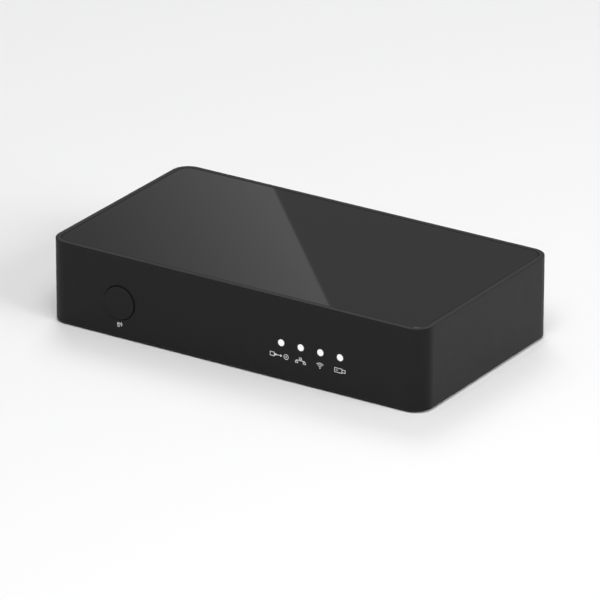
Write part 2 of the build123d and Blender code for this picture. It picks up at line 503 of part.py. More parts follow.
def optical_jack():
    """Optical output: housing, hinged dust shutter, shutter spring and light source."""
    y0, y1 = FACE_Y - OPT_D, FACE_Y
    half = OPT_MOUTH / 2
    body = block_at(OPT_X, OPT_W, y0, y1, PCB_TOP, PCB_TOP + OPT_H)
    cavity = block_at(OPT_X, OPT_MOUTH, OPT_BACK, OPT_LIP_Y, OPT_FLOOR, OPT_CEILING)
    pocket = block_at(OPT_X, OPT_MOUTH, OPT_BACK, OPT_LIP_Y, OPT_CEILING - 0.1, OPT_POCKET_TOP)
    bevel = 1.6
    outline = Polyline(
        (OPT_X - half, 0, OPT_FLOOR + OPT_SILL),
        (OPT_X + half, 0, OPT_FLOOR + OPT_SILL),
        (OPT_X + half, 0, OPT_CEILING - bevel),
        (OPT_X + half - bevel, 0, OPT_CEILING),
        (OPT_X - half + bevel, 0, OPT_CEILING),
        (OPT_X - half, 0, OPT_CEILING - bevel),
        close=True,
    )
    mouth = Pos(0, OPT_LIP_Y - 0.1, 0) * extrude(make_face(outline), 3, dir=(0, 1, 0))
    body = body - cavity - pocket - mouth
    body -= block_at(OPT_X, 2.8, OPT_LIP_Y - 0.1, OPT_LIP_Y + 0.35, OPT_CEILING - 0.1, OPT_POCKET_TOP)
    body -= rod_x(SHUTTER_PIN_R + 0.06, OPT_HINGE_Y, OPT_HINGE_Z, OPT_X - half - 0.7, OPT_X + half + 0.7)
    axis_z = (OPT_FLOOR + OPT_CEILING) / 2
    body -= rod(1.7, OPT_X, axis_z, y0 + 1.9, OPT_BACK + 1)
    body -= block_at(OPT_X, 6.0, y0 - 1, y0 + 2.0, axis_z - 3.0, axis_z + 3.0)
    emitter = block_at(OPT_X, 5.8, y0, y0 + 1.9, axis_z - 2.9, axis_z + 2.9)
    emitter += Pos(OPT_X, y0 + 1.9, axis_z) * (Sphere(1.4) & Pos(0, 0.7, 0) * Box(3, 1.4, 3))
    for dx in (-LEAD_PITCH, 0, LEAD_PITCH):
        emitter += block_at(OPT_X + dx, 0.5, y0 - 0.5, y0, PCB_TOP, axis_z - 1.0)
        emitter += tail(OPT_X + dx, y0 - 0.25, 0.5, 0.5)
    plate_w = OPT_MOUTH - 0.3
    plate_y = OPT_HINGE_Y - SHUTTER_T / 2, OPT_HINGE_Y + SHUTTER_T / 2
    shutter = block_at(OPT_X, plate_w, *plate_y, OPT_FLOOR + 0.1, OPT_HINGE_Z)
    shutter += rod_x(SHUTTER_T / 2, OPT_HINGE_Y, OPT_HINGE_Z, OPT_X - plate_w / 2, OPT_X + plate_w / 2)
    shutter -= block_at(OPT_X, 2.4, OPT_HINGE_Y - 1, OPT_HINGE_Y + 1, OPT_HINGE_Z - 0.9, OPT_HINGE_Z + 1)
    shutter += rod_x(0.4, OPT_HINGE_Y, OPT_HINGE_Z, OPT_X - 1.3, OPT_X + 1.3)
    for sx in (-1, 1):
        ends = sorted((OPT_X + sx * (plate_w / 2 - 0.2), OPT_X + sx * (half + 0.6)))
        shutter += rod_x(SHUTTER_PIN_R, OPT_HINGE_Y, OPT_HINGE_Z, *ends)
    turns, wire, mean_r = 4, 0.2, 0.55
    coil_path = Helix(pitch=0.45, height=0.45 * turns, radius=mean_r)
    coil = sweep(coil_path.location_at(0) * Circle(wire / 2), path=coil_path)
    coil = Pos(OPT_X - 0.9, OPT_HINGE_Y, OPT_HINGE_Z) * Rot(0, 90, 0) * coil
    return body, emitter, shutter, coil


def line_out_jack():
    """Twin phono socket: housing with collars, plated barrels, coloured inserts and centre contacts."""
    x_mid = sum(LINE_X) / 2
    y0, y1 = SHOULDER_Y - LINE_D, SHOULDER_Y
    housing = block_at(x_mid, LINE_W, y0, y1, PCB_TOP, PCB_TOP + LINE_H)
    housing = fillet(housing.edges().filter_by(Axis.Y).group_by(Axis.Z)[-1], 1.0)
    barrels, inserts, contacts = [], [], []
    inner_r = LINE_BARREL_R - LINE_BARREL_T
    sleeve_r, bore_r = 2.1, 1.65
    for x in LINE_X:
        housing += rod(LINE_COLLAR_R, x, LINE_AXIS_Z, y1, REAR)
        housing -= rod(inner_r, x, LINE_AXIS_Z, y0 + 2.0, REAR + 1)
        barrel = rod(LINE_BARREL_R, x, LINE_AXIS_Z, REAR, LINE_TIP)
        barrel = fillet(barrel.edges().sort_by(Axis.Y)[-1], 0.3)
        barrel -= rod(inner_r, x, LINE_AXIS_Z, REAR - 1, LINE_TIP + 1)
        barrels.append(barrel)
        insert = rod(inner_r, x, LINE_AXIS_Z, y0 + 2.0, LINE_TIP - 0.5)
        insert = chamfer(insert.edges().sort_by(Axis.Y)[-1], 0.3)
        insert -= rod(sleeve_r, x, LINE_AXIS_Z, y0 + 3.0, LINE_TIP + 1)
        inserts.append(insert)
        contact = rod(sleeve_r, x, LINE_AXIS_Z, y0 + 3.0, LINE_TIP - 1.2)
        contact -= rod(bore_r, x, LINE_AXIS_Z, y0 + 4.5, LINE_TIP)
        contacts.append(contact)
        housing += tail(x, y0 + 1.2, 1.6, 0.6)
    return housing, barrels, inserts, contacts


def reset_switch():
    """Side-acting push switch: base, metal cover, snap dome and the button that shows at the rear."""
    y_base, y_cover = 32.6, 35.6
    z0, z1 = PCB_TOP, RESET_Z + 3.0
    body_w, sheet, pocket_r, pocket_d = 6.0, 0.3, 2.25, 1.2
    body = block_at(RESET_X, body_w, y_base, y_cover, z0, z1)
    body -= rod(pocket_r, RESET_X, RESET_Z, y_cover - pocket_d, y_cover + 1)
    cover = block_at(RESET_X, body_w + 2 * sheet, y_cover, y_cover + sheet, z0 + 0.5, z1)
    cover -= rod(RESET_STEM_R + PLAY, RESET_X, RESET_Z, y_cover - 1, y_cover + 1)
    for sx in (-1, 1):
        cheek_x = RESET_X + sx * (body_w + sheet) / 2
        cover += block_at(cheek_x, sheet, y_base + 0.8, y_cover, z0, z1 - 1.0)
        cover += tail(cheek_x, y_base + 1.8, sheet, 1.2)
    flange = rod(RESET_FLANGE_R, RESET_X, RESET_Z, y_cover - 0.75, y_cover - 0.15)
    stem = rod(RESET_STEM_R, RESET_X, RESET_Z, y_cover - 0.2, REAR + 0.6)
    button = flange + fillet(stem.edges().sort_by(Axis.Y)[-1], 0.35)
    dome_r, dome_h, dome_t = 5.8, 0.36, 0.08
    dome_y = y_cover - pocket_d
    cap = Sphere(dome_r) - Sphere(dome_r - dome_t)
    cap = Pos(RESET_X, dome_y + dome_h - dome_r, RESET_Z) * cap
    dome = cap & rod(pocket_r - PLAY, RESET_X, RESET_Z, dome_y + 0.001, dome_y + 2)
    return body, cover, button, dome


# ---------------------------------------------------------------- board electronics
def main_board():
    """Main board, notched round the case bosses and drilled for every tail and peg."""
    board = block(-PCB_HALF_X, PCB_HALF_X, PCB_FRONT, PCB_REAR, PCB_Z, PCB_TOP)
    for sx, sy in CORNERS:
        xs = sorted((sx * PCB_NOTCH_X, sx * (PCB_HALF_X + 1)))
        ys = sorted((sy * PCB_NOTCH_Y, sy * (PCB_REAR + 2)))
        board -= block(*xs, *ys, PCB_Z - 1, PCB_TOP + 1)
        board -= post(BOARD_SCREW_HOLE_R, sx * STAND_X, sy * STAND_Y, PCB_Z - 1, PCB_TOP + 1)
    return board - pcb_cutters


def leaded_chip(x, y, w, d, h, pins, pitch, lead_w=0.35, reach=0.9, sides=2):
    """Moulded chip with gull-wing leads on two or four sides."""
    stand, lead_t, dot_r, dot_inset = 0.1, 0.15, 0.35, 0.9
    z0, z1 = PCB_TOP + stand, PCB_TOP + stand + h
    chip = block_at(x, w, y - d / 2, y + d / 2, z0, z1)
    chip = chamfer(chip.edges().group_by(Axis.Z)[-1], 0.12)
    chip -= post(dot_r, x - w / 2 + dot_inset, y - d / 2 + dot_inset, z1 - 0.06, z1 + 1)
    middle = (z0 + z1) / 2
    lead_z = middle - lead_t / 2, middle + lead_t / 2

    def gull_wing(half):
        """Spans outwards from the chip's middle, with heights, of a lead's arm, knee and foot."""
        knee = half + reach * 0.4
        arm_span = half - 0.05, knee + lead_t
        return (
            (arm_span, lead_z),
            ((knee, knee + lead_t), (PCB_TOP, lead_z[1])),
            ((knee, half + reach), (PCB_TOP, PCB_TOP + lead_t)),
        )

    for i in range(pins):
        along = (i - (pins - 1) / 2) * pitch
        for side in (-1, 1):
            for span, heights in gull_wing(w / 2):
                out = sorted((x + side * span[0], x + side * span[1]))
                chip += block(*out, y + along - lead_w / 2, y + along + lead_w / 2, *heights)
            if sides == 4:
                for span, heights in gull_wing(d / 2):
                    out = sorted((y + side * span[0], y + side * span[1]))
                    chip += block(x + along - lead_w / 2, x + along + lead_w / 2, *out, *heights)
    return chip


def electrolytic(x, y, r, h):
    """Surface-mount can capacitor on its square base."""
    base_t, base_half = 0.9, r + 0.15
    base = block_at(x, 2 * base_half, y - base_half, y + base_half, PCB_TOP, PCB_TOP + base_t)
    base = chamfer(base.edges().filter_by(Axis.Z).group_by(Axis.X)[-1], 1.0)
    groove = [(r, 0.6), (r - 0.25, 1.0), (r, 1.4)]
    crown = [(r, h - 0.4), (r - 0.4, h), (0, h)]
    return base + turned([(0, 0), (r, 0)] + groove + crown, x, y, PCB_TOP + base_t)


MODULE_X, MODULE_Y, MODULE_W, MODULE_D, MODULE_T = -43.0, -11.0, 34.0, 26.0, 1.0
MODULE_TOP = PCB_TOP + MODULE_T


def wireless_module():
    """Radio module: castellated board, its processor and the shield can over it."""
    edges_y = MODULE_Y - MODULE_D / 2, MODULE_Y + MODULE_D / 2
    board = block_at(MODULE_X, MODULE_W, *edges_y, PCB_TOP, MODULE_TOP)
    notches, notch_pitch, notch_r = 16, 1.8, 0.4
    for i in range(notches):
        x = MODULE_X + (i - (notches - 1) / 2) * notch_pitch
        for y in edges_y:
            board -= post(notch_r, x, y, PCB_TOP - 1, MODULE_TOP + 1)
    can_w, can_d, can_h, sheet = MODULE_W - 12.0, MODULE_D - 6.0, 2.4, 0.2
    can_top = MODULE_TOP + can_h
    can = block_at(MODULE_X, can_w, MODULE_Y - can_d / 2, MODULE_Y + can_d / 2, MODULE_TOP, can_top)
    can = fillet(can.edges().filter_by(Axis.Z) + can.edges().group_by(Axis.Z)[-1], 0.4)
    inner_y = MODULE_Y - can_d / 2 + sheet, MODULE_Y + can_d / 2 - sheet
    can -= block_at(MODULE_X, can_w - 2 * sheet, *inner_y, MODULE_TOP - 1, can_top - sheet)
    vents_x, vents_y, vent_r, vent_dx, vent_dy = 6, 4, 0.5, 2.8, 3.3
    for i in range(vents_x):
        for j in range(vents_y):
            x = MODULE_X + (i - (vents_x - 1) / 2) * vent_dx
            y = MODULE_Y + (j - (vents_y - 1) / 2) * vent_dy
            can -= post(vent_r, x, y, MODULE_TOP + 1, can_top + 1)
    chip_w, chip_h = 11.0, 1.1
    chip_y = MODULE_Y - chip_w / 2, MODULE_Y + chip_w / 2
    chip = block_at(MODULE_X, chip_w, *chip_y, MODULE_TOP, MODULE_TOP + chip_h)
    return board, can, chip


PLUGS = [(-57.4, -21.0), (-28.4, -21.0)]
ANTENNA_T, TRACK_T, ANTENNA_Z0, ANTENNA_Z1 = 0.5, 0.1, 13.5, 21.5
CABLE_R = 0.565


def antenna_plug(x, y):
    """Miniature coax plug snapped on its socket."""
    foot_r, cap_r, foot_h, shoulder_h, h = 1.0, 1.25, 0.6, 1.7, 1.9
    foot = [(0, 0), (foot_r, 0), (foot_r, foot_h)]
    cap = [(cap_r, foot_h), (cap_r, shoulder_h), (foot_r, h), (0, h)]
    return turned(foot + cap, x, y, MODULE_TOP)


def antenna(side):
    """Printed antenna strip stuck to the inside of a side wall."""
    face_x = INNER_X - ANTENNA_T
    xs = sorted((side * INNER_X, side * face_x))
    strip = block(*xs, -22.0, 14.0, ANTENNA_Z0, ANTENNA_Z1)
    track_x = sorted((side * face_x, side * (face_x - TRACK_T)))
    low, high, bar = ANTENNA_Z0 + 1.0, ANTENNA_Z1 - 1.0, 1.6
    feed, long_arm = (-20, -16, low, high), (-16, 12, high - bar, high)
    ground_leg, tip_leg = (-4, -2, low, high - bar), (8, 12, low + 1.5, high - bar)
    for track in (feed, long_arm, ground_leg, tip_leg):
        strip += block(*track_x, *track)
    return strip


def bend_radii(points):
    """Largest easy arc at each corner of a cable's route."""
    radii = []
    for a, b, c in zip(points, points[1:], points[2:]):
        run_in, run_out = Vector(b) - Vector(a), Vector(c) - Vector(b)
        shorter = min(run_in.length, run_out.length)
        radii.append(0.45 * shorter / tan(radians(run_in.get_angle(run_out) / 2)))
    return radii


def coax(points):
    """Thin antenna cable along straight runs joined by arcs."""
    radii = bend_radii(points)
    print("cable bend radii", [round(r, 1) for r in radii])
    path = FilletPolyline(*points, radius=radii)
    return sweep(path.location_at(0) * Circle(CABLE_R), path=path)


def antenna_cables():
    """Routes of the two cables, from each plug to the feed pads of its antenna."""
    z = MODULE_TOP + 1.25
    side_x = INNER_X - ANTENNA_T - TRACK_T - CABLE_R - 0.08
    left_x, left_y = PLUGS[0]
    left = [
        (left_x - 1.25, left_y, z),
        (left_x - 4.5, left_y, z + 0.4),
        (left_x - 7.8, left_y + 0.1, z + 2.4),
        (left_x - 10.8, left_y + 1.0, z + 5.2),
        (-side_x, left_y + 3.4, z + 8.2),
    ]
    right_x, right_y = PLUGS[1]
    lane_y, lane_z = -26.2, PCB_TOP + CABLE_R + 0.05
    right = [
        (right_x + 1.25, right_y, z),
        (right_x + 5.0, right_y - 0.4, z - 0.2),
        (right_x + 9.5, lane_y, lane_z),
        (-8.0, lane_y, lane_z),
        (4.0, lane_y + 0.6, lane_z),
        (18.0, lane_y, lane_z),
        (32.0, lane_y + 0.5, lane_z),
        (45.0, lane_y, lane_z),
        (57.0, lane_y + 1.2, lane_z + 0.8),
        (side_x - 1.0, -20.5, z + 3.5),
        (side_x, -16.6, z + 8.2),
    ]
    return left, right


def chip_passives():
    """Small resistors and capacitors set out in rows beside the chips they serve."""
    long, short, h = 1.6, 0.8, 0.55
    across = [  # first x, y, how many, step along X
        (-16.0, -2.5, 6, 2.4),
        (-16.0, -22.0, 6, 2.4),
        (-42.5, 4.6, 4, 2.4),
        (14.0, 16.5, 4, 2.6),
        (17.0, -3.0, 6, 2.4),
        (22.0, -20.0, 7, 2.6),
    ]
    back = [  # x, first y, how many, step along Y
        (-29.0, 15.8, 5, 2.2),
        (36.5, -2.0, 6, 2.2),
        (-21.0, -18.0, 5, 2.2),
    ]
    chips = []
    for x, y, count, step in across:
        for i in range(count):
            chips.append(block_at(x + i * step, short, y - long / 2, y + long / 2, PCB_TOP, PCB_TOP + h))
    for x, y, count, step in back:
        for i in range(count):
            mid_y = y + i * step
            chips.append(block_at(x, long, mid_y - short / 2, mid_y + short / 2, PCB_TOP, PCB_TOP + h))
    return chips


def buck_inductor(x, y):
    """Moulded power inductor, with the groove round its core."""
    w, h, groove = 7.2, 4.0, 0.7
    base = block_at(x, w, y - w / 2, y + w / 2, PCB_TOP, PCB_TOP + h)
    base = chamfer(base.edges().filter_by(Axis.Z), 1.2)
    ring = post(3.2, x, y, PCB_TOP + h - groove, PCB_TOP + h + 1)
    return base - (ring - post(2.3, x, y, PCB_TOP, PCB_TOP + h + 2))


def crystal(x, y):
    """Timing crystal in a low metal can with a brim."""
    w, d, h, brim_w, brim_t = 11.0, 4.6, 3.6, 0.3, 0.4
    can = extrude(Pos(x, y, PCB_TOP + brim_t) * SlotOverall(w, d), h - brim_t)
    can = fillet(can.edges().group_by(Axis.Z)[-1], 0.5)
    return can + extrude(Pos(x, y, PCB_TOP) * SlotOverall(w + 2 * brim_w, d + 2 * brim_w), brim_t)


def status_led(x):
    """Small lamp: base, and the lit block on it."""
    w, base_d, lamp_d, base_t, h = 1.6, 3.2, 2.0, 0.5, 1.1
    base = block_at(x, w, LED_Y - base_d / 2, LED_Y + base_d / 2, PCB_TOP, PCB_TOP + base_t)
    return base + block_at(x, w, LED_Y - lamp_d / 2, LED_Y + lamp_d / 2, PCB_TOP + base_t, PCB_TOP + h)


# ---------------------------------------------------------------- write every node
save("upper_shell", upper_shell())
save("top_panel", top_panel())
save("top_panel_adhesive", top_panel_adhesive())
save("base_plate", base_plate())
save("rating_label", rating_label())
save("rear_io_panel", rear_io_panel())
for side_name, sx in (("left", -1), ("right", 1)):
    for end_name, sy in (("front", -1), ("rear", 1)):
        save(f"foot_{end_name}_{side_name}", rubber_foot(sx * FOOT_X, sy * FOOT_Y))
save("case_screws", *[case_screw(sx * SCREW_X, sy * SCREW_Y) for sx, sy in CORNERS])
save("board_screws", *[board_screw(sx * STAND_X, sy * STAND_Y) for sx, sy in CORNERS])

save("ir_window", ir_window())
save("light_pipe_array", light_pipe_array())
save("ir_receiver", ir_receiver())
save("status_leds", *[status_led(x) for x in LIGHT_X])

for node, solid in zip(("dc_jack_body", "dc_jack_pin", "dc_jack_leaf"), dc_jack()):
    save(node, solid)
lan_shield, lan_insert, lan_contacts, lan_lenses = ethernet_jack()
save("ethernet_shield", lan_shield)
save("ethernet_insert", lan_insert)
save("ethernet_contacts", *lan_contacts)
save("ethernet_link_lenses", *lan_lenses)
usb_shield, usb_tongue, usb_contacts = usb_jack()
save("usb_shield", usb_shield)
save("usb_tongue", usb_tongue)
save("usb_contacts", *usb_contacts)
aux_body, aux_leaves = aux_jack()
save("aux_in_body", aux_body)
save("aux_in_leaves", *aux_leaves)
optical_nodes = ("optical_out_body", "optical_out_emitter", "optical_out_shutter", "optical_shutter_spring")
for node, solid in zip(optical_nodes, optical_jack()):
    save(node, solid)
line_housing, line_barrels, line_inserts, line_contacts = line_out_jack()
save("line_out_housing", line_housing)
save("line_out_barrels", *line_barrels)
save("line_out_insert_right", line_inserts[0])
save("line_out_insert_left", line_inserts[1])
save("line_out_centre_contacts", *line_contacts)
switch_nodes = ("reset_switch_base", "reset_switch_cover", "reset_button", "reset_switch_dome")
for node, solid in zip(switch_nodes, reset_switch()):
    save(node, solid)

module_board, module_can, module_chip = wireless_module()
save("wireless_module_board", module_board)
save("wireless_module_shield", module_can)
save("wireless_processor", module_chip)
save("antenna_plugs", *[antenna_plug(x, y) for x, y in PLUGS])
save("antenna_left", antenna(-1))
save("antenna_right", antenna(1))
left_route, right_route = antenna_cables()
save("antenna_cable_left", coax(left_route))
save("antenna_cable_right", coax(right_route))
save("control_chip", leaded_chip(-9.0, -12.0, 7.0, 7.0, 1.4, 12, 0.5, lead_w=0.22, reach=1.0, sides=4))
save("audio_converter_chip", leaded_chip(-37.0, 19.5, 4.4, 7.8, 1.0, 10, 0.65, lead_w=0.25, reach=1.0))
save("line_driver_chip", leaded_chip(-37.0, 10.0, 3.9, 4.9, 1.5, 4, 1.27, lead_w=0.42, reach=1.05))
save("memory_chip", leaded_chip(6.0, -2.5, 5.2, 5.2, 1.8, 4, 1.27, lead_w=0.42, reach=1.2))
save("ethernet_transformer", leaded_chip(LAN_X, 10.5, 9.5, 12.6, 5.6, 8, 1.27, lead_w=0.45, reach=1.2))
save("power_regulator", leaded_chip(54.0, 16.0, 3.6, 6.6, 1.6, 3, 2.3, lead_w=0.75, reach=1.7))
save("buck_inductor", buck_inductor(54.0, 3.0))
save("crystal", crystal(4.0, -12.0))
audio_caps = [(-57.0, 9.0), (-48.5, 9.0), (-57.0, 18.0), (-48.5, 18.0)]
supply_caps = [(48.5, -9.0), (59.0, -9.0)]
save(
    "electrolytic_capacitors",
    *[electrolytic(x, y, 3.15, 6.0) for x, y in audio_caps],
    *[electrolytic(x, y, 4.0, 9.0) for x, y in supply_caps],
)
save("chip_passives", *chip_passives())
save("main_board", main_board())
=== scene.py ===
"""Looks of the audio receiver: camera, studio, materials, printed pictograms and lit lenses."""

from math import cos, pi, radians, sin

import bmesh
import bpy
from mathutils import Matrix, Vector


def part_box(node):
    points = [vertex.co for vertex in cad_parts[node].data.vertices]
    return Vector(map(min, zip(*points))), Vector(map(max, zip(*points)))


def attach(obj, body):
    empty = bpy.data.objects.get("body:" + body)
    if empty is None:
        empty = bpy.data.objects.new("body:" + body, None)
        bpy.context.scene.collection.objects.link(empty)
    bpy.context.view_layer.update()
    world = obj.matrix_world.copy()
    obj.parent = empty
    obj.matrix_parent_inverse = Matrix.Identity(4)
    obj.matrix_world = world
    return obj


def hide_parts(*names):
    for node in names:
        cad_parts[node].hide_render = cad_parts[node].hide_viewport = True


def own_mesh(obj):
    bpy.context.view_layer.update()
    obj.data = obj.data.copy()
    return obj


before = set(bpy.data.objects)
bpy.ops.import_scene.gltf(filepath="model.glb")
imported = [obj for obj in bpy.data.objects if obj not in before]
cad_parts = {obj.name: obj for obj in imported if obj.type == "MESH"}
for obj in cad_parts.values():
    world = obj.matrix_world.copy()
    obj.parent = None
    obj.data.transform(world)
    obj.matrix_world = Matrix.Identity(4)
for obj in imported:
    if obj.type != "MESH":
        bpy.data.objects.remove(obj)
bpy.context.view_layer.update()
MM = 0.001

# ---------------------------------------------------------------- places taken from the frame
SHELL_LOW, SHELL_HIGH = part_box("upper_shell")
FRONT_Y, REAR_Y = SHELL_LOW.y, SHELL_HIGH.y
TOP_Z = SHELL_HIGH.z
BODY_MID = Vector((0, (FRONT_Y + REAR_Y) / 2, TOP_Z / 2))


def middle(node):
    """Middle of a CAD node's box."""
    low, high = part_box(node)
    return (low + high) / 2


# ---------------------------------------------------------------- camera
CAMERA_AZIMUTH, CAMERA_ELEVATION, CAMERA_ROLL = 32.69, 22.83, 0.092  # degrees
CAMERA_DISTANCE = 2.188
CAMERA_LENS, CAMERA_SENSOR = 399.1, 36.0  # focal length and width, in mm
CAMERA_SIGHT = 20.0
AIM_RIGHT, AIM_UP = 0.21 * MM, -4.44 * MM


def add_camera():
    """Long lens from the front right, a little above. Returns its right and backward directions."""
    azimuth, elevation, roll = map(radians, (CAMERA_AZIMUTH, CAMERA_ELEVATION, CAMERA_ROLL))
    back = Vector((sin(azimuth) * cos(elevation), -cos(azimuth) * cos(elevation), sin(elevation)))
    level = Vector((cos(azimuth), sin(azimuth), 0))
    upright = back.cross(level)
    right = level * cos(roll) + upright * sin(roll)
    up = upright * cos(roll) - level * sin(roll)
    data = bpy.data.cameras.new("camera")
    data.lens = CAMERA_LENS
    data.sensor_width = CAMERA_SENSOR
    data.clip_end = CAMERA_SIGHT
    camera = bpy.data.objects.new("camera", data)
    bpy.context.scene.collection.objects.link(camera)
    axes = Matrix((right, up, back)).transposed()
    place = BODY_MID + back * CAMERA_DISTANCE + right * AIM_RIGHT + up * AIM_UP
    camera.matrix_world = Matrix.Translation(place) @ axes.to_4x4()
    bpy.context.scene.camera = camera
    return right, back


CAMERA_RIGHT, CAMERA_BACK = add_camera()

# ---------------------------------------------------------------- studio
WORLD_LEVEL = 0.24
FLOOR_COLOUR = (0.77, 0.77, 0.775, 1)
FLOOR_SIZE = 12.0
# Name, place, side of the square in metres and watts. A light marked INCLUDE falls on the floor
# alone, one marked EXCLUDE on everything but the floor, and one marked None on everything.
LIGHTS = [
    ("key", (0.4, -0.7, 1.5), 1.0, 17.9, None),
    ("side", (1.38, -0.1, 0.68), 0.8, 16.0, "INCLUDE"),
    ("rim", (0.528, 1.245, 0.362), 0.4, 48.0, "EXCLUDE"),
    ("back", (-0.65, 0.95, 1.4), 0.8, 10.3, None),
]
CARD_LEVEL = 0.3  # how much brighter than the world its bright edge is
CARD_FADE = 1.3  # power by which it falls off from that edge
CARD_DISTANCE = 1.0
CARD_REACH, CARD_TALL = 0.105, 0.16  # width, and half the height
CARD_LEAN = 0.44  # sideways shift of the edges per metre of height
CARD_EDGE = 0.0048  # bright edge, to the right of the view's middle


def shader_nodes(material):
    """A material's emptied node tree, and a new output node in it."""
    material.use_nodes = True
    tree = material.node_tree
    tree.nodes.clear()
    return tree, tree.nodes.new("ShaderNodeOutputMaterial")


def add_light(name, place, size, power, floor, floor_state):
    """Soft square light aimed at the object, which may be kept to the floor or kept off it."""
    data = bpy.data.lights.new(name, "AREA")
    data.size = size
    data.energy = power
    light = bpy.data.objects.new(name, data)
    light.location = place
    light.rotation_euler = (-Vector(place)).to_track_quat("-Z", "Y").to_euler()
    light.visible_camera = False
    # a light kept off the floor stands low behind, and would flash in the edge of the gloss panel
    light.visible_glossy = floor_state != "EXCLUDE"
    bpy.context.scene.collection.objects.link(light)
    if floor_state:
        receivers = bpy.data.collections.new(f"{name}_receivers")
        receivers.objects.link(floor)
        receivers.collection_objects[0].light_linking.link_state = floor_state
        light.light_linking.receiver_collection = receivers


def add_floor():
    """Pale seamless floor."""
    bpy.ops.mesh.primitive_plane_add(size=FLOOR_SIZE, location=(0, 0, 0))
    floor = bpy.context.object
    floor.name = "floor"
    material = bpy.data.materials.new("floor")
    tree, output = shader_nodes(material)
    surface = tree.nodes.new("ShaderNodeBsdfDiffuse")
    surface.inputs["Color"].default_value = FLOOR_COLOUR
    tree.links.new(surface.outputs[0], output.inputs["Surface"])
    floor.data.materials.append(material)
    return floor


def add_card():
    """Card whose slanted edge and fading light show in the gloss top."""
    toward = Vector((-CAMERA_BACK.x, -CAMERA_BACK.y, 0)).normalized()
    across = Vector((CAMERA_RIGHT.x, CAMERA_RIGHT.y, 0)).normalized()
    rise = CARD_DISTANCE * CAMERA_BACK.z / Vector((CAMERA_BACK.x, CAMERA_BACK.y)).length
    centre = Vector((0, BODY_MID.y, TOP_Z + rise)) + toward * CARD_DISTANCE
    outline = ((-CARD_REACH, -CARD_TALL), (0, -CARD_TALL), (0, CARD_TALL), (-CARD_REACH, CARD_TALL))
    corners = []
    for side, z in outline:
        corners.append(centre + across * (CARD_EDGE + side + CARD_LEAN * z) + Vector((0, 0, z)))
    mesh = bpy.data.meshes.new("reflection_card")
    mesh.from_pydata(corners, [], [(0, 1, 2, 3)])
    layer = mesh.uv_layers.new(name="across")
    for loop, u in zip(layer.data, (0, 1, 1, 0)):
        loop.uv = (u, 0)
    card = bpy.data.objects.new("reflection_card", mesh)
    bpy.context.scene.collection.objects.link(card)
    material = bpy.data.materials.new("reflection_card")
    tree, output = shader_nodes(material)
    uv = tree.nodes.new("ShaderNodeUVMap")
    split = tree.nodes.new("ShaderNodeSeparateXYZ")
    fade = tree.nodes.new("ShaderNodeMath")
    fade.operation = "POWER"
    fade.inputs[1].default_value = CARD_FADE
    level = tree.nodes.new("ShaderNodeMath")
    level.operation = "MULTIPLY_ADD"
    level.inputs[1].default_value = CARD_LEVEL
    level.inputs[2].default_value = WORLD_LEVEL
    glow = tree.nodes.new("ShaderNodeEmission")
    tree.links.new(uv.outputs["UV"], split.inputs[0])
    tree.links.new(split.outputs["X"], fade.inputs[0])
    tree.links.new(fade.outputs[0], level.inputs[0])
    tree.links.new(level.outputs[0], glow.inputs["Strength"])
    tree.links.new(glow.outputs[0], output.inputs["Surface"])
    mesh.materials.append(material)
    card.visible_camera = False
    card.visible_diffuse = False
    card.visible_shadow = False


def add_studio():
    """World, floor, lights and the card."""
    scene = bpy.context.scene
    scene.view_settings.view_transform = "Standard"
    world = bpy.data.worlds.new("studio")
    world.use_nodes = True
    world.node_tree.nodes["Background"].inputs["Color"].default_value = (1, 1, 1, 1)
    world.node_tree.nodes["Background"].inputs["Strength"].default_value = WORLD_LEVEL
    scene.world = world
    floor = add_floor()
    add_card()
    for name, place, size, power, floor_state in LIGHTS:
        add_light(name, place, size, power, floor, floor_state)


add_studio()


# ---------------------------------------------------------------- materials
COLOUR_CLOUDS, ROUGHNESS_CLOUDS = 60.0, 220.0  # features per metre
ROUGHNESS_VARY = 0.1


def noise(tree, scale, detail=2.0, roughness=0.5):
    """Noise over the object's own coordinates; scale is in features per metre."""
    coordinates = tree.nodes.new("ShaderNodeTexCoord")
    texture = tree.nodes.new("ShaderNodeTexNoise")
    texture.inputs["Scale"].default_value = scale
    texture.inputs["Detail"].default_value = detail
    texture.inputs["Roughness"].default_value = roughness
    tree.links.new(coordinates.outputs["Object"], texture.inputs["Vector"])
    return texture.outputs["Fac"]


def spread(tree, value, low, high):
    """Maps 0..1 onto low..high."""
    mapping = tree.nodes.new("ShaderNodeMapRange")
    mapping.inputs["To Min"].default_value = low
    mapping.inputs["To Max"].default_value = high
    tree.links.new(value, mapping.inputs["Value"])
    return mapping.outputs["Result"]


def tone(tree, value, dark, light):
    """Mixes two colours."""
    mix = tree.nodes.new("ShaderNodeMix")
    mix.data_type = "RGBA"
    mix.inputs["A"].default_value = (*dark, 1)
    mix.inputs["B"].default_value = (*light, 1)
    tree.links.new(value, mix.inputs["Factor"])
    return mix.outputs["Result"]


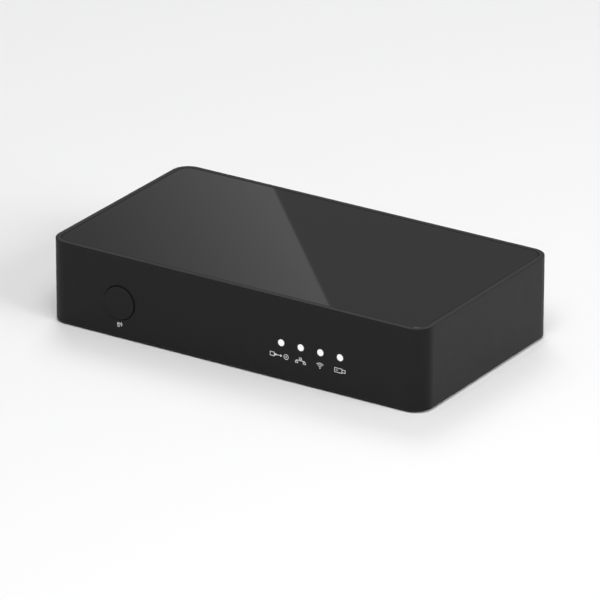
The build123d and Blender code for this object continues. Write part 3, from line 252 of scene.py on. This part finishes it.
def surface(
    name, colour, roughness, grain=0.3, depth=0.0, vary=0.06, metallic=0.0, specular=0.5, **more
):
    """Principled material. grain and depth are its bumps' size in mm, vary its colour's spread."""
    material = bpy.data.materials.new(name)
    tree, output = shader_nodes(material)
    shader = tree.nodes.new("ShaderNodeBsdfPrincipled")
    shader.inputs["Metallic"].default_value = metallic
    shader.inputs["Specular IOR Level"].default_value = specular
    for socket, value in more.items():
        shader.inputs[socket.replace("_", " ")].default_value = value
    cloudy = noise(tree, COLOUR_CLOUDS, detail=4.0)
    dark = [c * (1 - vary) for c in colour]
    light = [min(1.0, c * (1 + vary)) for c in colour]
    tree.links.new(tone(tree, cloudy, dark, light), shader.inputs["Base Color"])
    smooth, dull = roughness * (1 - ROUGHNESS_VARY), min(1.0, roughness * (1 + ROUGHNESS_VARY))
    patches = spread(tree, noise(tree, ROUGHNESS_CLOUDS, detail=3.0), smooth, dull)
    tree.links.new(patches, shader.inputs["Roughness"])
    if depth:
        fine = noise(tree, 1 / (grain * MM), detail=3.0, roughness=0.6)
        bump = tree.nodes.new("ShaderNodeBump")
        bump.inputs["Strength"].default_value = 1.0
        bump.inputs["Distance"].default_value = depth * MM
        tree.links.new(fine, bump.inputs["Height"])
        tree.links.new(bump.outputs["Normal"], shader.inputs["Normal"])
    tree.links.new(shader.outputs[0], output.inputs["Surface"])
    return material


def glowing(name, colour, glow, strength):
    """Surface of a colour that gives off light of the colour glow, the same all over."""
    material = surface(name, colour, 0.3)
    shader = material.node_tree.nodes["Principled BSDF"]
    shader.inputs["Emission Color"].default_value = (*glow, 1)
    shader.inputs["Emission Strength"].default_value = strength
    return material


SHELL_BLACK = (0.0145, 0.0145, 0.0148)
SHELL = surface(
    "shell_plastic", SHELL_BLACK, 0.5, grain=0.35, depth=0.004, vary=0.03, specular=0.125
)
GLOSS = surface("top_gloss", (0.006, 0.006, 0.0063), 0.02, vary=0.03)
BASE = surface(
    "base_plastic", (0.016, 0.016, 0.0165), 0.62, grain=0.5, depth=0.012, vary=0.08, specular=0.3
)
REAR = surface(
    "rear_plastic", (0.017, 0.017, 0.0175), 0.52, grain=0.35, depth=0.006, vary=0.05, specular=0.3
)
CONNECTOR = surface(
    "connector_black", (0.014, 0.014, 0.015), 0.42, grain=0.6, depth=0.004, vary=0.08
)
INK = surface("printed_ink", (0.78, 0.78, 0.78), 0.55, grain=0.2, depth=0.002, vary=0.03)
LAMP_LIT = glowing("lamp_lit", (0.08, 0.08, 0.08), (1.0, 1.0, 1.0), 0.86)
TIN = surface(
    "tinned_sheet", (0.62, 0.61, 0.59), 0.24, grain=0.8, depth=0.003, vary=0.08, metallic=1.0
)
NICKEL = surface("nickel", (0.66, 0.64, 0.6), 0.14, vary=0.05, metallic=1.0)
GOLD = surface("contact_gold", (0.83, 0.62, 0.28), 0.2, vary=0.08, metallic=1.0)
SCREW_BLACK = (0.09, 0.09, 0.095)
BLACK_STEEL = surface(
    "screw_steel", SCREW_BLACK, 0.34, grain=0.3, depth=0.004, vary=0.2, metallic=1.0
)
RUBBER = surface(
    "foot_rubber", (0.02, 0.02, 0.02), 0.8, grain=0.4, depth=0.02, vary=0.15, specular=0.25
)
EPOXY = surface("component_black", (0.025, 0.025, 0.027), 0.55, grain=0.2, depth=0.006, vary=0.1)
CAN = surface("capacitor_can", (0.72, 0.72, 0.73), 0.3, grain=0.5, depth=0.004, metallic=1.0)
MODULE = surface("module_board", (0.012, 0.02, 0.06), 0.3, grain=1.5, depth=0.01, vary=0.2)
LOOKS = {
    "upper_shell": SHELL,
    "ir_window": SHELL,
    "top_panel": GLOSS,
    "base_plate": BASE,
    "rear_io_panel": REAR,
    "top_panel_adhesive": surface("adhesive_film", (0.6, 0.6, 0.57), 0.7, grain=0.3, depth=0.01),
    "rating_label": surface(
        "rating_sticker", (0.5, 0.51, 0.52), 0.32, grain=0.15, depth=0.002, metallic=0.7
    ),
    "foot_front_left": RUBBER,
    "foot_front_right": RUBBER,
    "foot_rear_left": RUBBER,
    "foot_rear_right": RUBBER,
    "case_screws": BLACK_STEEL,
    "board_screws": BLACK_STEEL,
    "light_pipe_array": surface(
        "light_guide", (0.9, 0.93, 0.95), 0.08, vary=0.02, Transmission_Weight=0.9
    ),
    "ethernet_link_lenses": surface(
        "link_lens", (0.55, 0.6, 0.45), 0.15, vary=0.05, Transmission_Weight=0.5
    ),
    "status_leds": surface("lamp_body", (0.85, 0.84, 0.72), 0.4, vary=0.05),
    "dc_jack_body": CONNECTOR,
    "ethernet_insert": CONNECTOR,
    "aux_in_body": CONNECTOR,
    "optical_out_body": CONNECTOR,
    "optical_out_shutter": surface(
        "shutter_plastic", (0.03, 0.03, 0.032), 0.35, grain=0.5, depth=0.004
    ),
    "line_out_housing": CONNECTOR,
    "reset_switch_base": CONNECTOR,
    "optical_out_emitter": surface("optical_emitter", (0.12, 0.03, 0.03), 0.2, vary=0.1),
    "ethernet_shield": TIN,
    "usb_shield": TIN,
    "reset_switch_cover": TIN,
    "wireless_module_shield": TIN,
    "ethernet_contacts": GOLD,
    "usb_contacts": GOLD,
    "line_out_centre_contacts": GOLD,
    "antenna_plugs": GOLD,
    "dc_jack_pin": NICKEL,
    "dc_jack_leaf": NICKEL,
    "aux_in_leaves": NICKEL,
    "line_out_barrels": NICKEL,
    "reset_switch_dome": NICKEL,
    "crystal": NICKEL,
    "optical_shutter_spring": surface("spring_steel", (0.55, 0.55, 0.56), 0.25, metallic=1.0),
    "usb_tongue": surface("tongue_plastic", (0.7, 0.7, 0.67), 0.45, grain=0.5, depth=0.003),
    "line_out_insert_left": surface(
        "insert_white", (0.72, 0.72, 0.69), 0.4, grain=0.5, depth=0.003
    ),
    "line_out_insert_right": surface(
        "insert_red", (0.42, 0.012, 0.01), 0.4, grain=0.5, depth=0.003
    ),
    "reset_button": surface("button_plastic", (0.14, 0.14, 0.145), 0.5, grain=0.3, depth=0.004),
    "main_board": surface("board", (0.008, 0.075, 0.035), 0.3, grain=1.5, depth=0.01, vary=0.2),
    "wireless_module_board": MODULE,
    "antenna_left": surface("antenna_film", (0.32, 0.17, 0.04), 0.3, grain=1.0, depth=0.004),
    "antenna_cable_left": surface(
        "cable_jacket", (0.03, 0.03, 0.032), 0.45, grain=0.6, depth=0.004
    ),
    "electrolytic_capacitors": CAN,
    "chip_passives": surface(
        "chip_ceramic", (0.3, 0.2, 0.13), 0.5, grain=0.3, depth=0.01, vary=0.3
    ),
}
LOOKS["antenna_right"] = LOOKS["antenna_left"]
LOOKS["antenna_cable_right"] = LOOKS["antenna_cable_left"]
for epoxy_node in (
    "ir_receiver",
    "control_chip",
    "audio_converter_chip",
    "line_driver_chip",
    "memory_chip",
    "power_regulator",
    "ethernet_transformer",
    "buck_inductor",
    "wireless_processor",
):
    LOOKS[epoxy_node] = EPOXY

for node_name, node_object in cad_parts.items():
    node_object.data.materials.clear()
    node_object.data.materials.append(LOOKS[node_name])


# ---------------------------------------------------------------- printed pictograms
# A mark is a list of flat faces, each a list of (across, up) points in mm.
INK_LIFT = 0.02 * MM
INK_THICKNESS = 0.03 * MM
WELD = 0.001 * MM
STROKE = 0.22
HALF_LINE = STROKE / 2


def bar(x, y, w, h):
    """Rectangle centred on (x, y)."""
    left, right = x - w / 2, x + w / 2
    low, high = y - h / 2, y + h / 2
    return [[(left, low), (right, low), (right, high), (left, high)]]


def box_line(x, y, w, h):
    """Outline of a rectangle centred on (x, y), with w and h measured outside."""
    faces = []
    for side in (-1, 1):
        faces += bar(x, y + side * (h / 2 - HALF_LINE), w, STROKE)
        faces += bar(x + side * (w / 2 - HALF_LINE), y, STROKE, h - 2 * STROKE)
    return faces


def disc(x, y, r, steps=28):
    """Filled circle."""
    turns = [2 * pi * i / steps for i in range(steps)]
    return [[(x + r * cos(a), y + r * sin(a)) for a in turns]]


def arc(x, y, r, start=0.0, end=360.0, steps=32):
    """Stroke along a circle from start to end degrees."""
    faces = []
    for i in range(steps):
        a, b = (radians(start + (end - start) * k / steps) for k in (i, i + 1))
        corners = [(r - HALF_LINE, a), (r + HALF_LINE, a), (r + HALF_LINE, b), (r - HALF_LINE, b)]
        faces.append([(x + radius * cos(turn), y + radius * sin(turn)) for radius, turn in corners])
    return faces


def jack_mark():
    """Plug with an arrow into a round socket, 7.2 mm wide."""
    faces = box_line(-2.7, 0, 1.8, 1.5) + bar(-1.45, 0, 0.7, 0.7) + bar(-0.35, 0, 1.5, STROKE)
    faces.append([(0.4, 0.5), (0.4, -0.5), (1.15, 0)])
    return faces + arc(2.65, 0, 0.83) + disc(2.65, 0, 0.26)


def network_mark():
    """Three linked boxes, 4.1 mm wide."""
    faces = box_line(0, 0.65, 1.1, 0.8)
    for x in (-1.5, 1.5):
        faces += box_line(x, -0.65, 1.1, 0.8)
        faces += bar(x, -0.185, STROKE, 0.13)
    return faces + bar(0, 0, 3.0 + STROKE, STROKE) + bar(0, 0.185, STROKE, 0.13)


def wireless_mark():
    """Dot with spreading arcs, 2.7 mm wide."""
    faces = disc(0, -0.85, 0.22)
    for r in (0.62, 1.18, 1.74):
        faces += arc(0, -0.85, r, 44, 136, steps=14)
    return faces


def stick_mark():
    """Memory stick, 4.2 mm wide."""
    faces = box_line(-0.75, 0, 3.0, 1.7) + bar(-1.3, 0, 0.9, STROKE)
    for y in (-0.48, 0.48):
        faces += bar(1.25, y, 1.0, STROKE)
    return faces + bar(1.87, 0, STROKE, 0.96 + STROKE)


def infrared_mark():
    """Small remote control that sends a beam, 1.8 mm wide."""
    faces = box_line(-0.72, -0.2, 0.8, 1.6) + disc(-0.72, 0.1, 0.15)
    for r in (0.55, 1.1):
        faces += arc(-0.5, 0.1, r, -42, 42, steps=12)
    return faces


def polarity_mark():
    """Ring and centre pin of a power plug, with a wire each side."""
    wires = bar(1.2, 0, 1.5, STROKE) + bar(-1.35, 0, 0.9, STROKE)
    return arc(0, 0, 0.7, 20, 340, steps=26) + disc(0, 0, 0.26) + wires


def reset_mark():
    """Round arrow."""
    return arc(0, 0, 0.62, 90, 385, steps=26) + [[(0.2, 0.97), (0.2, 0.27), (0.75, 0.62)]]


def light_mark():
    """Round light with short rays."""
    faces = disc(0, 0, 0.34)
    near, far, half = 0.52, 0.85, 0.09
    for i in range(8):
        c, s = cos(pi / 4 * i), sin(pi / 4 * i)
        corners = [(near, -half), (far, -half), (far, half), (near, half)]
        faces.append([(c * along - s * side, s * along + c * side) for along, side in corners])
    return faces


def line_out_mark():
    """Two phono sockets."""
    faces = []
    for x in (-1.2, 1.2):
        faces += arc(x, 0, 0.66) + disc(x, 0, 0.24)
    return faces


def add_piece(name, mesh, material):
    """Puts a mesh in the scene as a piece that rides with the housing."""
    mesh.materials.clear()
    mesh.materials.append(material)
    piece = bpy.data.objects.new(name, mesh)
    bpy.context.scene.collection.objects.link(piece)
    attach(piece, "root")
    return piece


def build_piece(name, build, material):
    """Turns a finished bmesh into a piece."""
    mesh = bpy.data.meshes.new(name)
    bmesh.ops.recalc_face_normals(build, faces=build.faces)
    build.to_mesh(mesh)
    build.free()
    return add_piece(name, mesh, material)


def print_mark(name, faces, x, y, z, facing, scale=1.0):
    """Thin ink layer of flat faces on the front (facing -1) or the rear (facing 1)."""
    build = bmesh.new()
    unit = scale * MM
    for face in faces:
        corners = [(x - facing * u * unit, y + facing * INK_LIFT, z + v * unit) for u, v in face]
        build.faces.new([build.verts.new(c) for c in corners])
    bmesh.ops.remove_doubles(build, verts=build.verts, dist=WELD)
    back = bmesh.ops.extrude_face_region(build, geom=list(build.faces))["geom"]
    moved = [v for v in back if isinstance(v, bmesh.types.BMVert)]
    bmesh.ops.translate(build, verts=moved, vec=(0, -facing * INK_THICKNESS, 0))
    build_piece(name, build, INK)


# each light is in line with its lamp, at the top of its light guide
LIGHT_COUNT = 4
LAMP_HALF = 0.8 * MM
GUIDE_R = 1.3 * MM
LAMPS_LOW, LAMPS_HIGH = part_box("status_leds")
FIRST_LIGHT_X = LAMPS_LOW.x + LAMP_HALF
LIGHT_PITCH = (LAMPS_HIGH.x - LAMPS_LOW.x - 2 * LAMP_HALF) / (LIGHT_COUNT - 1)
LIGHT_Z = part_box("light_pipe_array")[1].z - GUIDE_R

LEGEND_DROP = 4.6 * MM
LEGENDS = [  # name, mark, shift from the light in mm
    ("legend_aux", jack_mark(), -0.76),
    ("legend_network", network_mark(), -0.11),
    ("legend_wireless", wireless_mark(), -0.15),
    ("legend_stick", stick_mark(), 0.1),
]
for i, (legend_name, shape, shift) in enumerate(LEGENDS):
    legend_x = FIRST_LIGHT_X + i * LIGHT_PITCH + shift * MM
    print_mark(legend_name, shape, legend_x, FRONT_Y, LIGHT_Z - LEGEND_DROP, -1)

INFRARED_SHIFT, INFRARED_DROP = 0.18 * MM, 7.7 * MM
INFRARED_PLACE = middle("ir_window") + Vector((INFRARED_SHIFT, 0, -INFRARED_DROP))
print_mark("legend_infrared", infrared_mark(), INFRARED_PLACE.x, FRONT_Y, INFRARED_PLACE.z, -1)

REAR_MARK_DROP, REAR_MARK_SCALE = 2.25 * MM, 0.85
REAR_MARK_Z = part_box("rear_io_panel")[1].z - REAR_MARK_DROP
REAR_MARKS = [  # name, mark, the piece it stands over
    ("rear_mark_power", polarity_mark(), "dc_jack_body"),
    ("rear_mark_reset", reset_mark(), "reset_button"),
    ("rear_mark_network", network_mark(), "ethernet_shield"),
    ("rear_mark_stick", stick_mark(), "usb_shield"),
    ("rear_mark_aux", jack_mark(), "aux_in_body"),
    ("rear_mark_optical", light_mark(), "optical_out_body"),
    ("rear_mark_line_out", line_out_mark(), "line_out_housing"),
]
for mark_name, shape, below in REAR_MARKS:
    print_mark(mark_name, shape, middle(below).x, REAR_Y, REAR_MARK_Z, 1, REAR_MARK_SCALE)

# ---------------------------------------------------------------- lit faces of the light guides
LENS_R = 1.15 * MM
LENS_CROWN = 0.1 * MM
LENS_PROUD, LENS_SKIRT = 0.06 * MM, 0.04 * MM


def light_lens(name, x):
    """Slightly domed lit end of a light guide."""
    rings, steps = 5, 40
    rim_y = FRONT_Y - LENS_PROUD
    build = bmesh.new()

    def circle(r, y):
        """Ring of points round the light's axis."""
        turns = [2 * pi * i / steps for i in range(steps)]
        return [build.verts.new((x + r * cos(a), y, LIGHT_Z + r * sin(a))) for a in turns]

    rows = []
    for j in range(1, rings + 1):
        share = j / rings
        rows.append(circle(LENS_R * share, rim_y - LENS_CROWN * (1 - share**2)))
    rows.append(circle(LENS_R, rim_y + LENS_SKIRT))
    tip = build.verts.new((x, rim_y - LENS_CROWN, LIGHT_Z))
    for i in range(steps):
        k = (i + 1) % steps
        build.faces.new((tip, rows[0][i], rows[0][k]))
        for near, far in zip(rows, rows[1:]):
            build.faces.new((near[i], far[i], far[k], near[k]))
    for face in build.faces:
        face.smooth = True
    build.faces.new(rows[-1])
    build_piece(name, build, LAMP_LIT)


for i in range(LIGHT_COUNT):
    light_lens(f"light_lens_{i + 1}", FIRST_LIGHT_X + i * LIGHT_PITCH)

# ---------------------------------------------------------------- snap dome of the reset switch
DOME = "reset_switch_dome"
DOME_SEAT = middle(DOME)
DOME_SEAT.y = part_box(DOME)[0].y  # middle of the dome's side away from the button
snap_dome = add_piece("snap_dome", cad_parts[DOME].data.copy(), NICKEL)
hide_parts(DOME)
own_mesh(snap_dome)
